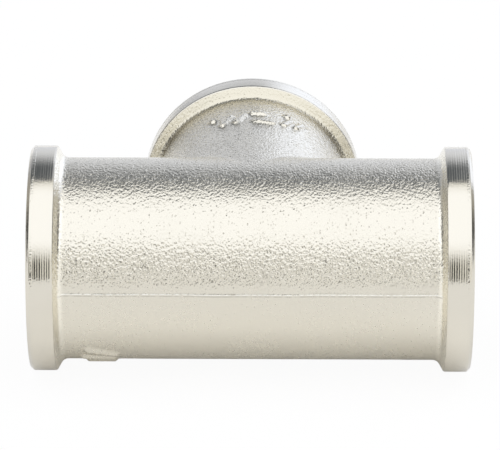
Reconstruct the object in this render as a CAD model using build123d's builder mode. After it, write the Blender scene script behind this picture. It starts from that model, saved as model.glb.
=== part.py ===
from build123d import *
import os
from math import atan2, sin

# Overall sizes of the forging, in millimetres
centre_to_end = 25.0
collar_diameter = 25.7
run_barrel_diameter = 23.0
branch_barrel_diameter = 22.9

# Turned collar at each end, with the forged slope behind it
collar_width = 2.95
collar_chamfer = 0.37
collar_corner = 0.12
shoulder_length = 0.75
shoulder_foot_radius = 0.6

# Blend in the crotch between the run and the branch
crotch_radius = 2.0

# Line where the two forging dies met, trimmed to a low flat strip
flash_width = 1.0
flash_height = 0.09
flash_below_collar = 0.2
flash_overlap = 0.5

# Half-inch pipe thread at its tapping size, with a mouth that clears the crests
thread_minor_diameter = 18.631
mouth_diameter = 21.4
socket_depth = 13.0

# Waterway that joins the three sockets
waterway_diameter = 17.0

# Radii and stations along an arm, measured from the crossing of the axes
collar_radius = collar_diameter / 2
run_radius = run_barrel_diameter / 2
branch_radius = branch_barrel_diameter / 2
thread_radius = thread_minor_diameter / 2
mouth_radius = mouth_diameter / 2
waterway_radius = waterway_diameter / 2
collar_back = centre_to_end - collar_width
shoulder_foot = collar_back - shoulder_length
socket_end = centre_to_end - socket_depth

# Plane whose x direction runs out along the branch
branch_plane = Plane(origin=(0, 0, 0), x_dir=(0, 1, 0), z_dir=(0, 0, 1))


# Half section of the outside of one arm: barrel, slope, collar, chamfer and end face
def arm_outline(barrel_radius):
    return [
        (0, barrel_radius),
        (shoulder_foot, barrel_radius),
        (collar_back, collar_radius - collar_corner),
        (collar_back + collar_corner, collar_radius),
        (centre_to_end - collar_chamfer, collar_radius),
        (centre_to_end, collar_radius - collar_chamfer),
        (centre_to_end, 0),
    ]


arm_corners = [shoulder_foot_radius, 0, 0, 0, 0]

# Half section of the inside of one arm: waterway, sloping step, tapping bore and open mouth
socket_outline = [
    (0, waterway_radius),
    (socket_end - (thread_radius - waterway_radius), waterway_radius),
    (socket_end, thread_radius),
    (centre_to_end - (mouth_radius - thread_radius), thread_radius),
    (centre_to_end, mouth_radius),
    (centre_to_end, 0),
]


# Station on the flash's own slope at a given radius, square off the forged slope by the flash's height
def flash_slope_at(radius, barrel_radius):
    rise = collar_radius - collar_corner - barrel_radius
    slope_angle = atan2(rise, shoulder_length)
    forged_station = shoulder_foot + (radius - barrel_radius) * shoulder_length / rise
    return forged_station - flash_height / sin(slope_angle)


# Outline of the flash in the parting plane, from the front of the run round to the branch
flash_run = run_radius + flash_height
flash_branch = branch_radius + flash_height
flash_top = collar_radius - flash_below_collar
flash_end = collar_back + flash_overlap
flash_outline = [
    (0, -flash_run),
    (flash_slope_at(flash_run, run_radius), -flash_run),
    (flash_slope_at(flash_top, run_radius), -flash_top),
    (flash_end, -flash_top),
    (flash_end, flash_top),
    (flash_slope_at(flash_top, run_radius), flash_top),
    (flash_slope_at(flash_run, run_radius), flash_run),
    (flash_branch, flash_run),
    (flash_branch, flash_slope_at(flash_branch, branch_radius)),
    (flash_top, flash_slope_at(flash_top, branch_radius)),
    (flash_top, flash_end),
    (0, flash_end),
]
flash_foot = shoulder_foot_radius - flash_height
flash_crotch = crotch_radius - flash_height
flash_corners = [flash_foot, 0, 0, 0, 0, flash_foot, flash_crotch, flash_foot, 0, 0]

# The whole fitting is one forging, so it is one solid
with BuildPart() as tee_body:
    # Run, turned about X: one arm's outline and its mirror image
    with BuildSketch(Plane.XY):
        with BuildLine():
            FilletPolyline(*arm_outline(run_radius), radius=arm_corners)
            mirror(about=Plane.YZ)
            Line((-centre_to_end, 0), (centre_to_end, 0))
        make_face()
    revolve(axis=Axis.X)

    # Branch, turned about Y, starting inside the run
    with BuildSketch(branch_plane):
        with BuildLine():
            FilletPolyline(*arm_outline(branch_radius), radius=arm_corners)
            Polyline((centre_to_end, 0), (0, 0), (0, branch_radius))
        make_face()
    revolve(axis=Axis.Y)

    # Only the line where the two barrels cross is a free-form curve
    crotch = tee_body.edges().filter_by(GeomType.BSPLINE)
    fillet(crotch, crotch_radius)

    # Trimmed flash all round the parting plane, up to the turned collars
    with BuildSketch(Plane.XY):
        with BuildLine():
            FilletPolyline(*flash_outline, radius=flash_corners)
            mirror(about=Plane.YZ)
        make_face()
    extrude(amount=flash_width / 2, both=True)

    # Two sockets and the waterway bored through the run
    with BuildSketch(Plane.XY):
        with BuildLine():
            Polyline(*socket_outline)
            mirror(about=Plane.YZ)
            Line((-centre_to_end, 0), (centre_to_end, 0))
        make_face()
    revolve(axis=Axis.X, mode=Mode.SUBTRACT)

    # Third socket, bored in from the branch until it meets the waterway
    with BuildSketch(branch_plane):
        with BuildLine():
            Polyline(*socket_outline)
            Polyline((centre_to_end, 0), (0, 0), (0, waterway_radius))
        make_face()
    revolve(axis=Axis.Y, mode=Mode.SUBTRACT)

tee_body.part.label = "tee_body"

os.makedirs("parts", exist_ok=True)
export_step(tee_body.part, "parts/tee_body.step")
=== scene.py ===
import math
import bpy
import numpy as np
from mathutils import Matrix, Vector


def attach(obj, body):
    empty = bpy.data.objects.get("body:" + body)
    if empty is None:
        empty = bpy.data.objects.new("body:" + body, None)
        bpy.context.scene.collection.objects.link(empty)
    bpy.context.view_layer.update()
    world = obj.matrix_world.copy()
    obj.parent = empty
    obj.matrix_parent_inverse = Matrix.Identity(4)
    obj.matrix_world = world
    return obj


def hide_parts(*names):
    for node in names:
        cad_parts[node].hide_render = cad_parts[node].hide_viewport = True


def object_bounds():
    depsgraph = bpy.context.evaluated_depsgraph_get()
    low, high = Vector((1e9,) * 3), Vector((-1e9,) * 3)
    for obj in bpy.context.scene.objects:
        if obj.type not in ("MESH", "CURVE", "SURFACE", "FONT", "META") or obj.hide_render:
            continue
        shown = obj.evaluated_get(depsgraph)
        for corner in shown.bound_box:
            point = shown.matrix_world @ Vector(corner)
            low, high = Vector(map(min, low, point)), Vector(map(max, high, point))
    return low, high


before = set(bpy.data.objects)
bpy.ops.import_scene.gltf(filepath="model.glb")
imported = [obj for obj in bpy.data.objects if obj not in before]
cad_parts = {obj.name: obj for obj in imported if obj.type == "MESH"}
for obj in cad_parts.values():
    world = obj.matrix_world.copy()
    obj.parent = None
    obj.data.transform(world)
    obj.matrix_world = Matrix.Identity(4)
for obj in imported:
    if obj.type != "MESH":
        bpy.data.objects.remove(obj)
cadLow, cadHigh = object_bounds()
mm = 0.001
print("frame loaded", [round(v / mm, 3) for v in [*cadLow, *cadHigh]])

# Lengths in millimetres, angles in degrees, in every dictionary below
tee = {
    "reach": cadHigh.x / mm,          # from the crossing of the axes to each end face
    "collarRadius": -max(cadLow.y, cadLow.z) / mm,
    "barrelRadius": 11.5,
    "crotchRadius": 2.0,
    "collarWidth": 2.95,
    "collarChamfer": 0.37,
    "collarCorner": 0.28,
    "shoulderLength": 0.75,
    "shoulderFoot": 0.95,
    "outerEdge": 0.08,                # rounding between collar and chamfer
    "faceEdge": 0.1,
    "mouthEdge": 0.07,
    "waterwayRadius": 8.5,
    "socketDepth": 13.0,
    "mouthRadius": 10.7,
}

thread = {
    "minorRadius": 9.3155,
    "pitch": 25.4 / 14,
    "depth": 1.162,
    "runOut": 1.6,                    # the last turn fades over this length
    "rowsPerTurn": 8,
}

meshRows = {
    "crotch": 7,
    "nearBarrel": 20,
    "shoulder": 8,
    "waterway": 6,
    "farBarrelStart": 13.6,           # beyond the crotch's blend on every arm
}

# Rows along the rest of each barrel: how many, and where they crowd round the raised marks
farRows = {
    "right": (26, []),
    "left": (40, [(17.0, 2.3, 1.6)]),
    "branch": (56, [(14.9, 2.4, 1.7)]),
}

# Columns round an arm: how many in each half turn, and where they crowd (middle, half width, gain)
columns = {
    "towardsBranch": (110, [(0, 3.0, 5.0), (77, 18, 2.4)]),
    "awayFromBranch": (98, [(180, 3.0, 5.0), (237, 12, 2.0)]),
}


def crowdedSteps(start, end, count, places):
    # Steps that crowd round given places: the running total of 1 + gain * exp(-((x - middle) / width)^2)
    # is cut into equal parts
    x = np.linspace(start, end, 4001)
    density = np.ones_like(x)
    for middle, width, gain in places:
        density += gain * np.exp(-(((x - middle) / width) ** 2))
    total = np.concatenate([[0], np.cumsum((density[1:] + density[:-1]) / 2)])
    return np.interp(np.linspace(0, total[-1], count + 1), total, x)


def smooth(x, low, high):
    # 0 below low, 1 above high, and 3t^2 - 2t^3 between them
    t = np.clip((x - low) / (high - low), 0, 1)
    return t * t * (3 - 2 * t)


def turned(first, last, t):
    # Even turn from one direction to another: sin((1-t)w) / sin(w) of the first plus sin(tw) / sin(w) of the last,
    # where w is the angle between them
    w = np.arccos(np.clip((first * last).sum(-1, keepdims=True), -1, 1))
    s = np.where(w < 1e-6, 1, np.sin(w))
    even = (np.sin((1 - t) * w) * first + np.sin(t * w) * last) / s
    return np.where(w < 1e-6, first, even)


def roundedOutline(corners):
    # Outline of (station, radius, rounding, steps): each rounded corner is an arc that touches both of its sides,
    # rounding / tan(half the corner's angle) away from it
    outline = [np.array(corners[0][:2], float)]
    for before, here, after in zip(corners, corners[1:], corners[2:]):
        corner = np.array(here[:2], float)
        back = np.array(before[:2]) - corner
        on = np.array(after[:2]) - corner
        back, on = back / np.linalg.norm(back), on / np.linalg.norm(on)
        half = math.acos(np.clip(back @ on, -1, 1)) / 2
        middle = (back + on) / np.linalg.norm(back + on)
        centre = corner + middle * here[2] / math.sin(half)
        start = corner + back * here[2] / math.tan(half) - centre
        end = corner + on * here[2] / math.tan(half) - centre
        t = np.linspace(0, 1, here[3])[:, None]
        arc = centre + here[2] * turned(start[None] / here[2], end[None] / here[2], t)
        outline += list(arc)
    outline.append(np.array(corners[-1][:2], float))
    return np.array(outline)


def endOutline():
    # Shoulder, collar, chamfer, end face and mouth, as (station, radius) from the barrel to the thread
    reach, collar, barrel = tee["reach"], tee["collarRadius"], tee["barrelRadius"]
    back = reach - tee["collarWidth"]
    corners = [
        (back - tee["shoulderLength"] - tee["shoulderFoot"], barrel),
        (back - tee["shoulderLength"], barrel, tee["shoulderFoot"], meshRows["shoulder"]),
        (back, collar, tee["collarCorner"], 5),
        (reach - tee["collarChamfer"], collar, tee["outerEdge"], 6),
        (reach, collar - tee["collarChamfer"], tee["faceEdge"], 4),
        (reach, tee["mouthRadius"], tee["mouthEdge"], 3),
        (reach - (tee["mouthRadius"] - thread["minorRadius"]), thread["minorRadius"]),
    ]
    return roundedOutline(corners)


def boreRadius(station):
    # Plain bore under the thread: the mouth's 45 degree chamfer, or the tapping size
    return np.maximum(thread["minorRadius"], tee["mouthRadius"] - (tee["reach"] - station))


def threadRadius(station, angle):
    # The rounded 55 degree form is close to a cosine of the thread's depth, so the groove's radius is the minor
    # radius plus half the depth times (1 + cos(turns)), and the larger of groove and plain bore is left
    turns = 2 * np.pi * (tee["reach"] - station) / thread["pitch"] + angle
    socketEnd = tee["reach"] - tee["socketDepth"]
    cut = smooth(station, socketEnd + 0.4, socketEnd + 0.4 + thread["runOut"])
    groove = thread["minorRadius"] + thread["depth"] / 2 * (1 + np.cos(turns)) * cut
    return np.maximum(boreRadius(station), groove)


def armGrid(name, angles, joinsBothSides, leftHanded):
    # One arm as a grid of rows along it and columns round it, in its own directions: along the arm, towards its
    # neighbour, and up. Rows run out over the crotch's blend, the barrel, the shoulder and the collar, then back in
    # down the mouth, the thread and the waterway.
    c, s = np.cos(angles), np.sin(angles)
    joined = np.abs(c) if joinsBothSides else np.maximum(c, 0)
    barrel, blend = tee["barrelRadius"], tee["crotchRadius"]

    # Crotch: a ball of the blend's radius touches both barrels, its centre on both offset barrels. The surface is
    # the arc from the ball's foremost point, shared with the next arm, to where it touches this barrel.
    t = np.linspace(0, 1, meshRows["crotch"] + 1)[:, None, None]
    centre = (barrel + blend) * np.stack([joined, c, s], -1)
    ownTouch = np.stack([0 * c, -c, -s], -1)
    middle = np.stack([-joined, -c, -2 * s], -1)
    middle /= np.linalg.norm(middle, axis=-1, keepdims=True)
    arc = centre + blend * turned(middle[None], ownTouch[None], t)
    # On the side with no branch the rows only spread out from the middle of the run
    plain = 2.0 * np.abs(c) * t[..., 0]
    flat = np.stack([plain, barrel * c + 0 * plain, barrel * s + 0 * plain], -1)
    crotch = np.where((joined > 1e-9)[None, :, None], arc, flat)

    start = crotch[-1, :, 0]
    t = crowdedSteps(0, 1, meshRows["nearBarrel"], [(1, 0.12, 3)])[1:, None]
    nearStations = start + (meshRows["farBarrelStart"] - start) * t
    outline = endOutline()
    foot = outline[1, 0]
    count, places = farRows[name]
    farStations = crowdedSteps(meshRows["farBarrelStart"], foot, count, places)[1:-1, None] + 0 * c
    endStations, endRadii = outline[1:, 0, None] + 0 * c, outline[1:, 1, None] + 0 * c

    # Thread rows start at the mouth's outer edge, so that the groove also cuts the chamfer
    mouthRow = len(endStations) - 2
    endStations, endRadii = endStations[:mouthRow + 1], endRadii[:mouthRow + 1]
    socketEnd = tee["reach"] - tee["socketDepth"]
    mouth = endStations[-1, 0]
    rows = int(thread["rowsPerTurn"] * (mouth - socketEnd - 0.4) / thread["pitch"])
    threadStations = np.linspace(mouth, socketEnd + 0.4, rows + 1)[1:, None] + 0 * c
    wave = threadRadius(threadStations, -angles if leftHanded else angles)

    step = thread["minorRadius"] - tee["waterwayRadius"]
    stepStations = np.array([socketEnd, socketEnd - step])[:, None] + 0 * c
    stepRadii = np.array([thread["minorRadius"], tee["waterwayRadius"]])[:, None] + 0 * c
    seam = tee["waterwayRadius"] * joined
    t = np.linspace(0, 1, meshRows["waterway"] + 1)[1:, None]
    passage = (socketEnd - step) + (seam - (socketEnd - step)) * t

    stations = np.concatenate([nearStations, farStations, endStations, threadStations, stepStations, passage])
    radii = np.concatenate([
        barrel + 0 * nearStations, barrel + 0 * farStations, endRadii, wave, stepRadii,
        tee["waterwayRadius"] + 0 * passage,
    ])
    rest = np.stack([stations, radii * c, radii * s], -1)
    grid = np.concatenate([crotch, rest])

    # 0 forged, 1 turned, 2 bored and threaded, for the row that starts each ring of faces
    forgedRows = len(crotch) + len(nearStations) + len(farStations) + meshRows["shoulder"]
    turnedRows = forgedRows + len(endStations) - meshRows["shoulder"] - 1
    finish = np.full(len(grid) - 1, 2)
    finish[:turnedRows] = 1
    finish[:forgedRows] = 0
    return grid, finish


def columnAngles():
    # Angles round each arm in radians. The halves that face each other across a crotch have the same steps.
    count, places = columns["towardsBranch"]
    facing = np.radians(crowdedSteps(-90, 90, count, places))
    count, places = columns["awayFromBranch"]
    away = np.radians(crowdedSteps(90, 270, count, places))
    run = np.concatenate([facing[:-1], away[:-1]])
    branch = np.concatenate([facing[:-1], (np.pi - facing[::-1])[:-1]])
    return run, branch


def weld(points, quads):
    # Points closer than a ten-thousandth of a millimetre become one. A quad that loses a corner becomes a
    # triangle, and one that loses two is dropped.
    _, first, index = np.unique(np.round(points, 4), axis=0, return_index=True, return_inverse=True)
    quads = index.reshape(-1)[quads]
    same = quads == np.roll(quads, -1, axis=1)
    whole = same.sum(1) == 0
    halves = np.nonzero(same.sum(1) == 1)[0]
    kept = (np.argmax(same[halves], 1)[:, None] + np.array([1, 2, 3])) % 4
    return first, quads, np.nonzero(whole)[0], halves, kept


def valueNoise(points, cell, seed):
    # Smooth noise from -1 to 1: random values on a cubic lattice, blended between its corners with
    # 6t^5 - 15t^4 + 10t^3, which keeps reflections free of creases
    lattice = np.random.default_rng(seed).uniform(-1, 1, (64, 64, 64))
    place = points / cell + 1000
    base = np.floor(place).astype(int)
    t = place - base
    t = t ** 3 * (6 * t * t - 15 * t + 10)
    total = np.zeros(len(points))
    for corner in np.ndindex(2, 2, 2):
        weight = np.prod(np.where(np.array(corner) == 1, t, 1 - t), axis=1)
        at = (base + corner) % 64
        total += weight * lattice[at[:, 0], at[:, 1], at[:, 2]]
    return total


# Height of the forged skin's unevenness, and of the trimmed flash at the parting line
skin = {
    "swell": (0.012, 5.0),            # height and width of the long waves
    "ripple": (0.005, 1.5),
    "flashHeight": 0.035,
    "flashHalfWidth": 0.4,
    "flashEdge": 0.07,
    "burrHeight": 0.035,              # thin ridge left along the flash's upper edge
    "burrWidth": 0.08,
}

# Raised marks, only plain bars and dots: along the arc, along the arm, length, turn, half width
branchMarks = [
    (-4.7, 16.0, 0.2, 0, 0.40),
    (-3.0, 14.7, 2.2, 64, 0.40),
    (-1.4, 14.7, 2.2, 64, 0.40),
    (1.35, 13.8, 2.1, -2, 0.40),
    (0.7, 16.3, 1.3, 0, 0.38),
    (4.2, 14.9, 1.9, 64, 0.38),
    (4.2, 17.0, 0.2, 0, 0.36),
    (5.7, 15.3, 1.9, 64, 0.38),
]
runMarks = [
    (-3.6, 16.8, 3.3, -70, 0.38),
    (-1.7, 17.2, 3.3, -76, 0.38),
    (0.1, 16.9, 2.6, 90, 0.42),
]
markHeight = 0.34
markFlank = 0.5                       # width of the slope round each mark


def raisedMarks(arc, along, marks):
    # Each mark is a rounded bar: its slope to nothing is centred at its half width away from a short line. A very
    # short line makes a dot.
    height = np.zeros_like(arc)
    for across, station, length, turn, halfWidth in marks:
        turn = math.radians(turn)
        dx, dy = arc - across, along - station
        onLine = np.clip(dx * math.cos(turn) + dy * math.sin(turn), -length / 2, length / 2)
        away = np.hypot(dx - onLine * math.cos(turn), dy - onLine * math.sin(turn))
        height = np.maximum(height, 1 - smooth(away, halfWidth - markFlank / 2, halfWidth + markFlank / 2))
    return height * markHeight


def forgedRelief(p, forged):
    # Outward push of the forged skin: long waves and ripples of noise, the flash all round the parting plane, and
    # the raised marks on the branch and under the run's left end
    swell = skin["swell"][0] * valueNoise(p, skin["swell"][1], 3)
    ripple = skin["ripple"][0] * valueNoise(p, skin["ripple"][1], 4)
    wander = 0.05 * valueNoise(p, 4.0, 5)
    z = p[:, 2] + wander
    low, high = skin["flashHalfWidth"], skin["flashHalfWidth"] + skin["flashEdge"]
    flash = skin["flashHeight"] * (1 - smooth(np.abs(z), low, high))
    broken = 0.6 + 0.4 * valueNoise(p, 0.9, 6)
    burr = skin["burrHeight"] * broken * np.exp(-(((z - low) / skin["burrWidth"]) ** 2))
    height = swell + ripple + flash + burr
    edge = np.where(forged > 0, z - low, 9)
    onBranch = p[:, 1] > np.abs(p[:, 0]) + 1
    arc = tee["barrelRadius"] * np.arctan2(p[:, 0], p[:, 2])
    height += np.where(onBranch & (p[:, 2] > 0), raisedMarks(arc, p[:, 1], branchMarks), 0)
    arc = tee["barrelRadius"] * (np.arctan2(-p[:, 2], -p[:, 1]) - math.radians(63))
    height += np.where((p[:, 0] < -12) & ~onBranch, raisedMarks(arc, -p[:, 0], runMarks), 0)
    return height * forged, edge


def makeTee():
    runAngles, branchAngles = columnAngles()
    arms = [
        ("right", (1, 0, 0), (0, 1, 0), runAngles, False, False),
        ("left", (-1, 0, 0), (0, 1, 0), runAngles, False, True),
        ("branch", (0, 1, 0), (1, 0, 0), branchAngles, True, True),
    ]
    points, quads, finishes, lengths, forged = [], [], [], [], []
    count = 0
    for name, along, side, angles, joinsBothSides, leftHanded in arms:
        grid, finish = armGrid(name, angles, joinsBothSides, leftHanded)
        rows, cols = grid.shape[:2]
        axes = np.array([along, side, (0, 0, 1)], float)
        index = count + np.arange(rows * cols).reshape(rows, cols)
        nextIndex = np.roll(index, -1, axis=1)
        ring = np.stack([index[:-1], nextIndex[:-1], nextIndex[1:], index[1:]], -1)
        if leftHanded:
            ring = ring[..., ::-1]
        points.append((grid @ axes).reshape(-1, 3))
        quads.append(ring.reshape(-1, 4))
        finishes.append(np.repeat(finish, cols))
        run = np.linalg.norm(np.diff(grid[:, 0], axis=0), axis=1)
        length = np.concatenate([[0], np.cumsum(run)])
        lengths.append(np.repeat(length - length[np.argmax(finish == 1)], cols))
        skinRows = np.concatenate([finish, [2]]) == 0
        rowsLeft = skinRows.sum() - 1 - np.arange(rows, dtype=float)
        forged.append(np.repeat(np.clip(rowsLeft / 3, 0, 1), cols))
        count += rows * cols
        print("arm", name, rows, "rows", cols, "columns")
    points, quads = np.concatenate(points), np.concatenate(quads)
    finishes, lengths = np.concatenate(finishes), np.concatenate(lengths)
    forged = np.concatenate(forged)
    first, welded, whole, halves, kept = weld(points, quads)
    triangles = np.take_along_axis(welded[halves], kept, 1)
    corners = np.concatenate([welded[whole].ravel(), triangles.ravel()])
    sources = np.concatenate([quads[whole].ravel(), np.take_along_axis(quads[halves], kept, 1).ravel()])
    sizes = np.concatenate([np.full(len(whole), 4), np.full(len(halves), 3)])

    mesh = bpy.data.meshes.new("nickelTee")
    mesh.vertices.add(len(first))
    mesh.vertices.foreach_set("co", (points[first] * mm).astype(np.float32).ravel())
    mesh.loops.add(len(corners))
    mesh.loops.foreach_set("vertex_index", corners.astype(np.int32))
    mesh.polygons.add(len(sizes))
    mesh.polygons.foreach_set("loop_start", (np.cumsum(sizes) - sizes).astype(np.int32))
    mesh.polygons.foreach_set("material_index", finishes[np.concatenate([whole, halves])].astype(np.int32))
    mesh.polygons.foreach_set("use_smooth", np.ones(len(sizes), bool))
    mesh.update(calc_edges=True)

    # The forged skin is pushed out along the plain form's own normals
    normals = np.empty(len(first) * 3, np.float32)
    mesh.vertex_normals.foreach_get("vector", normals)
    plain = points[first]
    relief, edge = forgedRelief(plain, forged[first])
    moved = plain + normals.reshape(-1, 3) * relief[:, None]
    mesh.vertices.foreach_set("co", (moved * mm).astype(np.float32).ravel())

    # Height over the flash's upper edge, for the painted highlight and painted shade along it
    layer = mesh.attributes.new("overFlash", "FLOAT", "POINT")
    layer.data.foreach_set("value", edge.astype(np.float32))

    # Lengthways distance over the surface from the collar's inner corner, in millimetres, so that turning marks
    # follow the lathe
    layer = mesh.uv_layers.new(name="turning")
    around = np.arctan2(points[:, 2], np.where(np.abs(points[:, 1]) > 13, points[:, 0], points[:, 1]))
    uv = np.stack([lengths[sources], around[sources]], 1)
    layer.data.foreach_set("uv", uv.astype(np.float32).ravel())
    mesh.update()
    mesh.validate()
    piece = bpy.data.objects.new("forged_tee", mesh)
    bpy.context.scene.collection.objects.link(piece)
    print("tee", len(first), "points", sizes.sum() - 2 * len(sizes), "triangles")
    return piece



def newNode(tree, kind, **settings):
    node = tree.nodes.new(kind)
    for name, value in settings.items():
        setattr(node, name, value)
    return node


def joinSockets(tree, source, target):
    tree.links.new(source, target)


def newGroup(name, inputs, outputs):
    # A node group with named number inputs, as (name, value), and named outputs
    group = bpy.data.node_groups.new(name, "ShaderNodeTree")
    for label, value in inputs:
        socket = group.interface.new_socket(label, in_out="INPUT", socket_type="NodeSocketFloat")
        socket.default_value = value
    for label in outputs:
        group.interface.new_socket(label, in_out="OUTPUT", socket_type="NodeSocketFloat")
    return group, group.nodes.new("NodeGroupInput"), group.nodes.new("NodeGroupOutput")


def maths(tree, operation, *values):
    # A Math node whose inputs are sockets or plain numbers
    node = newNode(tree, "ShaderNodeMath", operation=operation)
    for socket, value in zip(node.inputs, values):
        if isinstance(value, (int, float)):
            socket.default_value = value
        else:
            tree.links.new(value, socket)
    return node.outputs[0]


def noiseAt(tree, place, size, detail=1.0, roughness=0.5):
    # Smooth noise with lumps of about the given size in millimetres, 0 to 1
    node = newNode(tree, "ShaderNodeTexNoise")
    tree.links.new(place, node.inputs["Vector"])
    if isinstance(size, (int, float)):
        node.inputs["Scale"].default_value = 1 / (size * mm)
    else:
        tree.links.new(maths(tree, "DIVIDE", 1 / mm, size), node.inputs["Scale"])
    node.inputs["Detail"].default_value = detail
    node.inputs["Roughness"].default_value = roughness
    return node.outputs["Fac"]


def rangeOf(tree, value, fromLow, fromHigh, low, high):
    node = newNode(tree, "ShaderNodeMapRange", interpolation_type="SMOOTHSTEP")
    joinSockets(tree, value, node.inputs["Value"])
    for name, number in (("From Min", fromLow), ("From Max", fromHigh), ("To Min", low), ("To Max", high)):
        node.inputs[name].default_value = number
    return node.outputs["Result"]


def makeGrainGroup():
    # Pits left by shot, one in each cell of a random pattern: a smooth hole whose depth differs from cell to cell,
    # sunk in gently uneven metal. Both are closer along the run than round it.
    group, given, result = newGroup("shotGrain", [("Pit Spacing", 0.36), ("Lump Size", 0.5), ("Lump Share", 0.4)],
                                    ["Height", "Pits"])
    stretch = newNode(group, "ShaderNodeVectorMath", operation="MULTIPLY")
    joinSockets(group, newNode(group, "ShaderNodeTexCoord").outputs["Object"], stretch.inputs[0])
    stretch.inputs[1].default_value = (1.35, 1, 1)
    place = stretch.outputs[0]
    cells = newNode(group, "ShaderNodeTexVoronoi", feature="F1")
    joinSockets(group, place, cells.inputs["Vector"])
    joinSockets(group, maths(group, "DIVIDE", 1 / mm, given.outputs["Pit Spacing"]), cells.inputs["Scale"])
    split = newNode(group, "ShaderNodeSeparateXYZ")
    joinSockets(group, cells.outputs["Color"], split.inputs[0])
    depth = rangeOf(group, split.outputs["X"], 0.1, 0.9, 0.15, 1)
    pits = maths(group, "MULTIPLY", rangeOf(group, cells.outputs["Distance"], 0.0, 0.5, 1, 0), depth)
    lumps = noiseAt(group, place, given.outputs["Lump Size"], 1.0)
    share = given.outputs["Lump Share"]
    height = maths(group, "SUBTRACT", maths(group, "MULTIPLY", lumps, share),
                   maths(group, "MULTIPLY", pits, maths(group, "SUBTRACT", 1.0, share)))
    joinSockets(group, height, result.inputs["Height"])
    joinSockets(group, pits, result.inputs["Pits"])
    return group


def makeRingGroup():
    # Turning marks: a wave along the surface with the tool's feed as its length, uneven from ring to ring
    group, given, result = newGroup("turningRings", [("Feed", 0.31), ("Uneven", 0.5)], ["Height", "Streaks"])
    along = newNode(group, "ShaderNodeUVMap", uv_map="turning").outputs["UV"]
    split = newNode(group, "ShaderNodeSeparateXYZ")
    joinSockets(group, along, split.inputs[0])
    turns = maths(group, "DIVIDE", split.outputs["X"], given.outputs["Feed"])
    wave = maths(group, "SINE", maths(group, "MULTIPLY", turns, math.tau))
    wave = maths(group, "ADD", maths(group, "MULTIPLY", wave, 0.5), 0.5)
    line = newNode(group, "ShaderNodeTexNoise", noise_dimensions="1D")
    joinSockets(group, maths(group, "MULTIPLY", turns, 3.1), line.inputs["W"])
    line.inputs["Scale"].default_value = 1
    line.inputs["Detail"].default_value = 2
    streak = line.outputs["Fac"]
    uneven = given.outputs["Uneven"]
    height = maths(group, "ADD", maths(group, "MULTIPLY", wave, maths(group, "SUBTRACT", 1.0, uneven)),
                   maths(group, "MULTIPLY", streak, uneven))
    joinSockets(group, height, result.inputs["Height"])
    joinSockets(group, streak, result.inputs["Streaks"])
    return group


grainGroup = makeGrainGroup()
ringGroup = makeRingGroup()


def placeGroup(tree, group, **values):
    node = newNode(tree, "ShaderNodeGroup", node_tree=group)
    for name, value in values.items():
        node.inputs[name].default_value = value
    return node


def newMaterial(name):
    material = bpy.data.materials.new(name)
    material.use_nodes = True
    return material, material.node_tree, material.node_tree.nodes["Principled BSDF"]


def mixColour(tree, share, first, second):
    node = newNode(tree, "ShaderNodeMix", data_type="RGBA")
    joinSockets(tree, share, node.inputs["Factor"])
    for socket, value in ((node.inputs[6], first), (node.inputs[7], second)):
        if hasattr(value, "is_output"):
            joinSockets(tree, value, socket)
        else:
            socket.default_value = (*value, 1)
    return node.outputs[2]


blasted = {
    "nickel": (0.72, 0.68, 0.58),
    # painted shade, mixed into the pits and along the strip under the flash's upper edge
    "paintedShade": (0.40, 0.37, 0.31),
    # painted sheen: a lighter colour on the run's shoulders standing in for a brighter reflection
    "runShoulderPaintedSheen": (0.93, 0.89, 0.78),
    "branchShoulder": (0.66, 0.615, 0.495),
    # painted highlight along the flash's upper edge
    "paintedFlashHighlight": (0.93, 0.91, 0.83),
    "roughness": 0.25,
    "pitRoughness": 0.32,
    "pitSpacing": 0.39,
    "lumps": 0.35,
    "lumpShare": 0.74,
    "grainDepth": 0.155,              # millimetres from pit to peak
    "lowerGrain": 0.14,               # the lower die half is smoother
    "flankGrain": 1.4,                # the shot bit deepest just over the parting line
    "topGrain": 0.85,
    "flankStart": (0.3, 2.4),         # heights over the parting plane
    "flankEnd": (5.0, 7.0),
    "runShoulderGrain": 0.5,
    "branchShoulderGrain": 0.6,
    "shoulderStart": (20.8, 21.5),    # distance along an arm over which the shoulders' smoother grain sets in, with a painted sheen on the run's shoulders and a darker, yellower tone on the branch's
    "flashLineWidth": 0.09,
}


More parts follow.
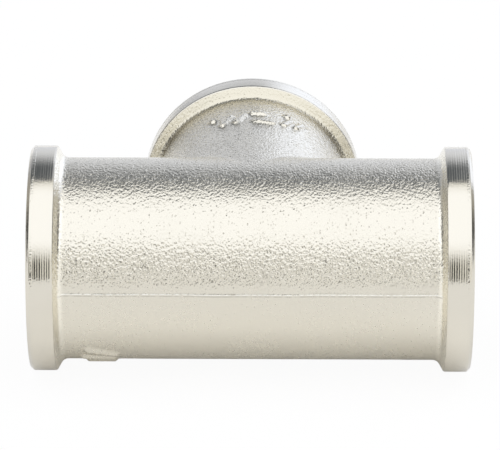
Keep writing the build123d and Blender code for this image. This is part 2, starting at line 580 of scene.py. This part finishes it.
def makeBlastedNickel():
    material, tree, surface = newMaterial("blastedNickel")
    grain = placeGroup(tree, grainGroup, **{"Pit Spacing": blasted["pitSpacing"], "Lump Size": blasted["lumps"],
                                            "Lump Share": blasted["lumpShare"]})
    place = newNode(tree, "ShaderNodeTexCoord").outputs["Object"]
    split = newNode(tree, "ShaderNodeSeparateXYZ")
    joinSockets(tree, place, split.inputs[0])
    start, full = blasted["flankStart"]
    upper = rangeOf(tree, split.outputs["Z"], start * mm, full * mm, blasted["lowerGrain"], blasted["flankGrain"])
    start, full = blasted["flankEnd"]
    fall = rangeOf(tree, split.outputs["Z"], start * mm, full * mm, 0, blasted["flankGrain"] - blasted["topGrain"])
    upper = maths(tree, "SUBTRACT", upper, fall)
    start, full = blasted["shoulderStart"]
    # Run's shoulders: smoother grain, and a painted sheen in their colour
    runShoulderPaintedSheen = rangeOf(tree, maths(tree, "ABSOLUTE", split.outputs["X"]), start * mm, full * mm, 0, 1)
    branchShoulder = rangeOf(tree, split.outputs["Y"], start * mm, full * mm, 0, 1)
    depth = maths(tree, "MULTIPLY", upper, rangeOf(tree, runShoulderPaintedSheen, 0, 1, 1, blasted["runShoulderGrain"]))
    depth = maths(tree, "MULTIPLY", depth, rangeOf(tree, branchShoulder, 0, 1, 1, blasted["branchShoulderGrain"]))
    drift = noiseAt(tree, place, 6.0, 2.0)
    # Painted shade in the pits, strongest on the flank just over the parting line
    pits = maths(tree, "MULTIPLY", rangeOf(tree, grain.outputs["Pits"], 0.25, 0.8, 0, 1),
                 rangeOf(tree, depth, 0.3, blasted["flankGrain"], 0, 1))

    # Along the flash's upper edge: a thin painted highlight with gaps, and a painted shade line just under it
    over = newNode(tree, "ShaderNodeAttribute", attribute_name="overFlash").outputs["Fac"]
    width = blasted["flashLineWidth"]
    gaps = rangeOf(tree, noiseAt(tree, place, 0.5, 2.0), 0.36, 0.55, 0.25, 1)
    line = maths(tree, "MULTIPLY", rangeOf(tree, maths(tree, "ABSOLUTE", over), width / 2, width, 1, 0), gaps)
    under = maths(tree, "ABSOLUTE", maths(tree, "ADD", over, 2.2 * width))
    shade = maths(tree, "MULTIPLY", rangeOf(tree, under, width / 2, 1.2 * width, 0.5, 0), gaps)

    tone = mixColour(tree, pits, blasted["nickel"], blasted["paintedShade"])
    # Painted sheen on the run's shoulders, then the branch's shoulders' darker, yellower tone
    tone = mixColour(tree, runShoulderPaintedSheen, tone, blasted["runShoulderPaintedSheen"])
    tone = mixColour(tree, branchShoulder, tone, blasted["branchShoulder"])
    # Painted shade just under the flash's edge, then the painted highlight along it
    tone = mixColour(tree, shade, tone, blasted["paintedShade"])
    tone = mixColour(tree, line, tone, blasted["paintedFlashHighlight"])
    joinSockets(tree, tone, surface.inputs["Base Color"])
    rough = rangeOf(tree, grain.outputs["Pits"], 0, 1, blasted["roughness"], blasted["pitRoughness"])
    joinSockets(tree, maths(tree, "ADD", rough, rangeOf(tree, drift, 0.3, 0.7, -0.03, 0.03)),
                surface.inputs["Roughness"])
    surface.inputs["Metallic"].default_value = 1
    bump = newNode(tree, "ShaderNodeBump")
    bump.inputs["Distance"].default_value = blasted["grainDepth"] * mm
    joinSockets(tree, maths(tree, "MULTIPLY", grain.outputs["Height"], depth), bump.inputs["Height"])
    joinSockets(tree, bump.outputs["Normal"], surface.inputs["Normal"])
    return material


turnedFinish = {
    "nickel": (0.71, 0.67, 0.575),
    "roughness": 0.09,
    "feed": 0.27,
    "uneven": 0.5,
    "grooveDepth": 0.015,
    "edgeWidth": 0.2,                 # torn strip along both edges of the collar
    "edgeDepth": 0.04,
    "tearSize": 0.22,
    "dentSize": 0.3,
    "dentShare": 0.6,                 # as a part of the grooves' depth
}


def makeTurnedNickel():
    material, tree, surface = newMaterial("turnedNickel")
    rings = placeGroup(tree, ringGroup, **{"Feed": turnedFinish["feed"], "Uneven": turnedFinish["uneven"]})
    place = newNode(tree, "ShaderNodeTexCoord").outputs["Object"]
    split = newNode(tree, "ShaderNodeSeparateXYZ")
    joinSockets(tree, newNode(tree, "ShaderNodeUVMap", uv_map="turning").outputs["UV"], split.inputs[0])
    scuffs = noiseAt(tree, place, 1.6, 3.0, 0.65)
    surface.inputs["Base Color"].default_value = (*turnedFinish["nickel"], 1)
    surface.inputs["Metallic"].default_value = 1
    rough = maths(tree, "ADD", rangeOf(tree, scuffs, 0.4, 0.75, 0, 0.05),
                  rangeOf(tree, rings.outputs["Streaks"], 0.3, 0.7, turnedFinish["roughness"],
                          turnedFinish["roughness"] + 0.05))
    joinSockets(tree, rough, surface.inputs["Roughness"])

    # Torn metal along the collar's inner corner and its chamfer's edge, by distance from each
    outer = tee["collarWidth"] - tee["collarChamfer"] - turnedFinish["edgeWidth"] / 2
    near = maths(tree, "MINIMUM", maths(tree, "ABSOLUTE", split.outputs["X"]),
                 maths(tree, "ABSOLUTE", maths(tree, "SUBTRACT", split.outputs["X"], outer)))
    torn = maths(tree, "MULTIPLY", rangeOf(tree, near, turnedFinish["edgeWidth"] / 2, turnedFinish["edgeWidth"], 1, 0),
                 noiseAt(tree, place, turnedFinish["tearSize"], 1.0))
    share = turnedFinish["edgeDepth"] / turnedFinish["grooveDepth"]
    bump = newNode(tree, "ShaderNodeBump")
    bump.inputs["Distance"].default_value = turnedFinish["grooveDepth"] * mm
    dents = maths(tree, "MULTIPLY", noiseAt(tree, place, turnedFinish["dentSize"], 2.0), turnedFinish["dentShare"])
    height = maths(tree, "ADD", rings.outputs["Height"], maths(tree, "MULTIPLY", torn, share))
    joinSockets(tree, maths(tree, "ADD", height, dents), bump.inputs["Height"])
    joinSockets(tree, bump.outputs["Normal"], surface.inputs["Normal"])
    return material


boredFinish = {
    "nickel": (0.62, 0.58, 0.49),
    "roughness": 0.3,
    "feed": 0.12,
    "grooveDepth": 0.004,
}


def makeBoredNickel():
    material, tree, surface = newMaterial("boredNickel")
    rings = placeGroup(tree, ringGroup, **{"Feed": boredFinish["feed"], "Uneven": 0.6})
    place = newNode(tree, "ShaderNodeTexCoord").outputs["Object"]
    stain = noiseAt(tree, place, 3.0, 3.0, 0.6)
    tone = mixColour(tree, rangeOf(tree, stain, 0.45, 0.7, 0, 0.5), boredFinish["nickel"], (0.5, 0.44, 0.33))
    joinSockets(tree, tone, surface.inputs["Base Color"])
    surface.inputs["Metallic"].default_value = 1
    rough = maths(tree, "ADD", rangeOf(tree, stain, 0.4, 0.7, 0, 0.1), boredFinish["roughness"])
    joinSockets(tree, rough, surface.inputs["Roughness"])
    bump = newNode(tree, "ShaderNodeBump")
    bump.inputs["Distance"].default_value = boredFinish["grooveDepth"] * mm
    joinSockets(tree, rings.outputs["Height"], bump.inputs["Height"])
    joinSockets(tree, bump.outputs["Normal"], surface.inputs["Normal"])
    return material


forgedTee = makeTee()
for make in (makeBlastedNickel, makeTurnedNickel, makeBoredNickel):
    forgedTee.data.materials.append(make())
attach(forgedTee, "root")
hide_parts("tee_body")
print("materials on")


# Studio: a white floor, one wide soft light overhead, pale walls. Angles are degrees up from the horizon in front
# of the tee, over the top, to the horizon behind it. Sideways is -1 far left to 1 far right.
studio = {
    "floorSize": 8.0,                 # metres
    "floorTone": (0.84, 0.83, 0.81),
    "floorGlow": 0.08,                # keeps the shade under the tee light
    "floorWash": 0.94,                # how far the floor is washed out to white for the camera
    "surround": (1.0, 1.0, 0.98),
    "backdrop": (1, 1, 1),
    "fillPower": 3.0,
}

# Each panel fades in over two angles and out over two, and the same sideways
panels = [
    {"name": "lowBackWall", "up": (112, 114, 400, 401), "across": (-3, -2, 2, 3), "tone": (0.84, 0.88, 0.99)},
    {"name": "darkGap", "up": (104, 110, 127, 161), "across": (-3, -2, 0.0, 0.45), "tone": (0.13, 0.145, 0.17)},
    {"name": "whiteBoard", "up": (132, 146, 400, 401), "across": (0.04, 0.28, 2, 3), "tone": (1.28, 1.37, 1.6)},
    {"name": "backLeft", "up": (138, 150, 400, 401), "across": (-3, -2, -0.5, -0.25), "tone": (0.45, 0.47, 0.53)},
    {"name": "cameraStand", "up": (-3, 1, 15, 35), "across": (-0.48, -0.36, -0.05, 0.05), "tone": (0.02, 0.02, 0.02)},
    {"name": "lamp", "up": (16, 42, 92, 111), "across": (-0.95, -0.8, 0.8, 0.95), "tone": (1.38, 1.42, 1.52)},
    {"name": "leftWing", "up": (84, 108, 200, 300), "across": (-3, -2, -0.74, -0.6), "tone": (0.45, 0.44, 0.42)},
    {"name": "rightWing", "up": (84, 108, 200, 300), "across": (0.68, 0.8, 2, 3), "tone": (0.45, 0.44, 0.42)},
    {"name": "leftEdge", "up": (50, 66, 200, 300), "across": (-3, -2, -0.92, -0.86), "tone": (0.12, 0.12, 0.12)},
    {"name": "rightEdge", "up": (50, 66, 200, 300), "across": (0.86, 0.92, 2, 3), "tone": (0.12, 0.12, 0.12)},
    {"name": "darkLeft", "up": (-90, -80, 200, 300), "across": (-3, -2, -0.97, -0.93), "tone": (0.05, 0.05, 0.055)},
    {"name": "darkRight", "up": (-90, -80, 200, 300), "across": (0.93, 0.97, 2, 3), "tone": (0.06, 0.06, 0.065)},
]


def makeFloor():
    half = studio["floorSize"] / 2
    z = cadLow.z
    mesh = bpy.data.meshes.new("paleFloor")
    mesh.from_pydata([(-half, -half, z), (half, -half, z), (half, half, z), (-half, half, z)], [], [(0, 1, 2, 3)])
    floor = bpy.data.objects.new("paleFloor", mesh)
    bpy.context.scene.collection.objects.link(floor)
    material, tree, surface = newMaterial("paleFloor")
    surface.inputs["Base Color"].default_value = (*studio["floorTone"], 1)
    surface.inputs["Roughness"].default_value = 0.9
    surface.inputs["Specular IOR Level"].default_value = 0.2
    surface.inputs["Emission Color"].default_value = (1, 1, 1, 1)
    surface.inputs["Emission Strength"].default_value = studio["floorGlow"]
    white = newNode(tree, "ShaderNodeEmission")
    washed = newNode(tree, "ShaderNodeMixShader")
    seen = newNode(tree, "ShaderNodeLightPath").outputs["Is Camera Ray"]
    joinSockets(tree, maths(tree, "MULTIPLY", seen, studio["floorWash"]), washed.inputs[0])
    joinSockets(tree, surface.outputs[0], washed.inputs[1])
    joinSockets(tree, white.outputs[0], washed.inputs[2])
    joinSockets(tree, washed.outputs[0], tree.nodes["Material Output"].inputs["Surface"])
    mesh.materials.append(material)


def makeStudioLight():
    world = bpy.data.worlds.new("studio")
    bpy.context.scene.world = world
    world.use_nodes = True
    tree = world.node_tree
    background = tree.nodes["Background"]
    split = newNode(tree, "ShaderNodeSeparateXYZ")
    joinSockets(tree, newNode(tree, "ShaderNodeTexCoord").outputs["Generated"], split.inputs[0])
    x, y, z = split.outputs
    # Angle from the front horizon over the top: the arc tangent of height over distance to the front
    angle = maths(tree, "DEGREES", maths(tree, "ARCTAN2", z, maths(tree, "MULTIPLY", y, -1.0)))
    seen = studio["surround"]
    for panel in panels:
        share = 1.0
        for place, (start, full, fading, end) in ((angle, panel["up"]), (x, panel["across"])):
            share = maths(tree, "MULTIPLY", rangeOf(tree, place, start, full, 0, 1), share)
            share = maths(tree, "MULTIPLY", rangeOf(tree, place, fading, end, 1, 0), share)
        seen = mixColour(tree, share, seen, panel["tone"])
    path = newNode(tree, "ShaderNodeLightPath")
    shown = mixColour(tree, path.outputs["Is Camera Ray"], seen, studio["backdrop"])
    joinSockets(tree, shown, background.inputs["Color"])
    background.inputs["Strength"].default_value = 1


def makeFill():
    # A wide lamp overhead that lights the floor and isn't mirrored in the metal
    data = bpy.data.lights.new("floorFill", "AREA")
    data.shape = "SQUARE"
    data.size = 1.6
    data.energy = studio["fillPower"]
    lamp = bpy.data.objects.new("floorFill", data)
    lamp.location = (0, 0, 1.2)
    lamp.visible_glossy = False
    bpy.context.scene.collection.objects.link(lamp)


makeFloor()
makeStudioLight()
makeFill()
print("studio lit")


# Camera at the photograph's angle. Angles in degrees, lengths in millimetres.
camera = {
    "distance": 449.3,
    "height": 22.8,                   # degrees above the run's axis
    "side": 0.45,                     # degrees towards the right end
    "roll": 0.05,
    "lens": 283.0,
    "aimUp": 3.816,                   # the axes cross this far below the middle of the picture
    "aimRight": 0.095,
}


def makeCamera():
    up, side = math.radians(camera["height"]), math.radians(camera["side"])
    away = Vector((math.sin(side) * math.cos(up), -math.cos(side) * math.cos(up), math.sin(up)))
    across = Vector((math.cos(side), math.sin(side), 0))
    place = away * camera["distance"] * mm
    aim = away.cross(across) * camera["aimUp"] * mm - across * camera["aimRight"] * mm
    data = bpy.data.cameras.new("camera")
    data.lens = camera["lens"]
    data.sensor_width = 36
    data.clip_start = 0.01
    data.clip_end = 50
    eye = bpy.data.objects.new("camera", data)
    eye.location = place
    turn = (aim - place).to_track_quat("-Z", "Y")
    eye.rotation_mode = "QUATERNION"
    eye.rotation_quaternion = turn @ Matrix.Rotation(math.radians(camera["roll"]), 4, "Z").to_quaternion()
    bpy.context.scene.collection.objects.link(eye)
    bpy.context.scene.camera = eye


makeCamera()
bpy.context.scene.view_settings.view_transform = "Standard"
bpy.context.view_layer.update()
